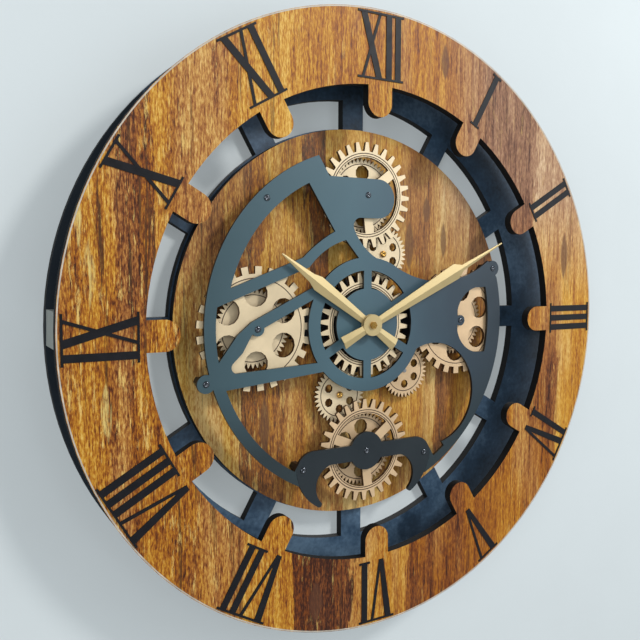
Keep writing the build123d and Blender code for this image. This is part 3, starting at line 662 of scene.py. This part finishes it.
def numeral_strokes(word):
    """Strokes and serif bars of a numeral.

    Each is its top left, top right, bottom left and bottom right across, and its low and high end.
    """
    width = sum(LETTERS[c][0] for c in word) * MM + LETTER_GAP * (len(word) - 1)
    strokes = []
    foot = None
    u = -width / 2
    for i, letter in enumerate(word):
        span, lines, stands = LETTERS[letter]
        for tl, tr, bl, br in lines:
            strokes.append((u + tl * MM, u + tr * MM, u + bl * MM, u + br * MM, 0.0, NUMERAL_H))
        if stands:
            start = u - SERIF_OUT if i == 0 or foot is None else foot
            end = u + span * MM + SERIF_OUT
            strokes.append((start, end, start, end, 0.0, SERIF_T))
            foot = u + span * MM
        else:
            foot = None
        u += span * MM + LETTER_GAP
    top = width / 2 + SERIF_OUT
    strokes.append((-top, top, -top, top, NUMERAL_H - SERIF_T, NUMERAL_H))
    return strokes


def make_numerals():
    """Roman numerals on the ring. Strokes that cross stand out by different amounts."""
    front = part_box("numeral_ring")[0].y
    bm = bmesh.new()
    for hour, word in enumerate(NUMERALS):
        turn = math.radians(HOUR_DEG * hour)
        out = Vector((math.sin(turn), math.cos(turn)))
        side = Vector((math.cos(turn), -math.sin(turn)))
        for layer, (tl, tr, bl, br, low, high) in enumerate(numeral_strokes(word)):
            corners = ((bl, low), (br, low), (tr, high), (tl, high))
            points = [out * (NUMERAL_IN_R + v) + side * u for u, v in corners]
            height = NUMERAL_T + layer * STROKE_STEP
            prism(bm, points, front - height, height)
    new_piece("numerals", bm, numeral_black, "clock_body")


def make_rim_line():
    """Pale line along the ring's outer edge: its pale sanded edge with a painted highlight."""
    low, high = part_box("numeral_ring")
    bm = bmesh.new()
    inner, outer = high.x - RIM_LINE_IN, high.x - RIM_LINE_OUT
    band(bm, Vector((0, low.y, 0)), inner, outer, RIM_LINE_SEGMENTS)
    new_piece("rim_line", bm, rim_pale_highlight, "clock_body")


def make_gear_lines():
    """Burnt lines on the front of the gears, wheels and pinions, which turn with them."""
    for node_name, radii in GEAR_LINES.items():
        body = body_of[node_name]
        low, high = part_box(node_name)
        front = high.y - WHEEL_T if node_name.endswith("wheel") else low.y
        centre = Vector((axis_of[body].x, front, axis_of[body].z))
        bm = bmesh.new()
        for radius in radii:
            inner, outer = radius * MM - LINE_W / 2, radius * MM + LINE_W / 2
            band(bm, centre, inner, outer, LINE_SEGMENTS)
        new_piece(f"{node_name}_line", bm, burnt_line, body)


def screw_profile(radius, height):
    """Button head with a round socket."""
    return (
        (radius, 0.0),
        (radius, height * 0.3),
        (radius * 0.9, height * 0.62),
        (radius * 0.7, height * 0.86),
        (radius * 0.45, height),
        (radius * 0.42, height * 0.4),
    )


def solids_of(node_name, reach):
    """Middles in X and Z of a node's separate solids, which are smaller than the reach."""
    groups = []
    for vertex in nodes[node_name].data.vertices:
        spot = Vector((vertex.co.x, 0.0, vertex.co.z))
        for group in groups:
            if (group[0] - spot).length < reach:
                group.append(spot)
                break
        else:
            groups.append([spot])
    middles = []
    for group in groups:
        across = [spot.x for spot in group]
        up = [spot.z for spot in group]
        middles.append(Vector(((min(across) + max(across)) / 2, 0.0, (min(up) + max(up)) / 2)))
    return middles


def make_screws():
    """Screw heads on the frame, over its posts and the gears' pins, and on the small wheels."""
    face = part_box("frame_plate")[0].y
    places = solids_of("frame_posts", POST_REACH)
    places += [axis_of[b] for b in ("top", "bottom", "left", "right")]
    bm = bmesh.new()
    for place in places:
        spun(bm, screw_profile(SCREW_R, SCREW_T), Vector((place.x, face, place.z)))
    new_piece("frame_screw_heads", bm, screw_dark, "clock_body")
    pin_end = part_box("upper_pinion")[0].y - PIN_PROUD
    bm = bmesh.new()
    for body in ("upper_pinion", "lower_pinion", "left_idler", "right_idler"):
        centre = Vector((axis_of[body].x, pin_end, axis_of[body].z))
        spun(bm, screw_profile(PINION_SCREW_R, PINION_SCREW_T), centre)
    new_piece("pinion_screw_heads", bm, looks["brass"], "clock_body")


def make_rear_screws():
    """Countersunk screws of the blocks, the disc and the hanger, almost flush with the rear."""
    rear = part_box("back_plate")[1].y
    places = solids_of("ring_spacers", BLOCK_REACH)
    for k in range(DISC_SCREWS):
        turn = 2 * math.pi * (k + 0.5) / DISC_SCREWS
        places.append(Vector((DISC_SCREW_R * math.cos(turn), 0.0, DISC_SCREW_R * math.sin(turn))))
    low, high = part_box("hanger_plate")
    for side in (-HANGER_SCREW_X, HANGER_SCREW_X):
        places.append(Vector((side, 0.0, (low.z + high.z) / 2)))
    head = (
        (REAR_SCREW_R, 0.0),
        (REAR_SCREW_R, LINE_PROUD),
        (REAR_SCREW_R * 0.4, LINE_PROUD),
        (REAR_SCREW_R * 0.3, 0.0),
    )
    bm = bmesh.new()
    for place in places:
        spun(bm, head, Vector((place.x, rear, place.z)), way=1)
    new_piece("rear_screw_heads", bm, looks["hanger_steel"], "clock_body")


make_numerals()
make_rim_line()
make_gear_lines()
make_screws()
make_rear_screws()

# Stage, light and camera


def plane(name, matrix, material):
    """Square sheet of the stage."""
    bm = bmesh.new()
    bmesh.ops.create_grid(bm, x_segments=1, y_segments=1, size=STAGE_HALF)
    mesh = bpy.data.meshes.new(name)
    bm.to_mesh(mesh)
    bm.free()
    obj = bpy.data.objects.new(name, mesh)
    obj.matrix_world = matrix
    mesh.materials.append(material)
    bpy.context.scene.collection.objects.link(obj)


upright = Matrix.Rotation(math.radians(90), 4, "X")
plane(
    "wall", Matrix.Translation((0, cad_box[1].y + WALL_GAP, 0)) @ upright,
    backdrop("wall_paint", srgb(193, 200, 202), WALL_GLOW),
)
plane(
    "floor", Matrix.Translation((0, 0, FLOOR_Z)), backdrop("floor_paint", srgb(222, 222, 222), 0.0)
)


def area_light(name, place, target, size, power, colour):
    """Round soft lamp that looks at a target."""
    light = bpy.data.lights.new(name, "AREA")
    light.shape = "DISK"
    light.size = size
    light.energy = power
    light.color = colour
    obj = bpy.data.objects.new(name, light)
    obj.location = place
    obj.rotation_mode = "QUATERNION"
    obj.rotation_quaternion = (Vector(target) - Vector(place)).to_track_quat("-Z", "Y")
    bpy.context.scene.collection.objects.link(obj)


area_light(
    "key", (1.25, -1.58, 1.4), (0, 0, 0.08), size=0.42, power=30.0, colour=(1.0, 0.985, 0.96)
)
area_light(
    "window", (1.7, -1.35, 0.55), (0.1, 0, 0.1), size=1.5, power=10.0, colour=(0.86, 0.93, 1.0)
)
area_light(
    "fill", (-1.6, -1.8, 0.6), (0, 0, 0), size=1.6, power=16.0, colour=(0.92, 0.96, 1.0)
)
area_light("rear", (0.8, 2.2, 1.2), (0, 0, 0), size=1.6, power=30.0, colour=(1.0, 1.0, 1.0))

world = bpy.data.worlds.new("studio")
bpy.context.scene.world = world
world.use_nodes = True
sky = world.node_tree.nodes["Background"]
sky.inputs["Color"].default_value = SKY_COLOUR
sky.inputs["Strength"].default_value = SKY_STRENGTH

camera = bpy.data.cameras.new("camera")
camera.lens = LENS
camera.sensor_width = SENSOR
eye = bpy.data.objects.new("camera", camera)
eye.location = EYE
eye.rotation_mode = "QUATERNION"
eye.rotation_quaternion = LOOK.to_track_quat("-Z", "Y") @ Quaternion((0, 0, 1), ROLL)
bpy.context.scene.collection.objects.link(eye)
bpy.context.scene.camera = eye
bpy.context.scene.view_settings.view_transform = "Standard"
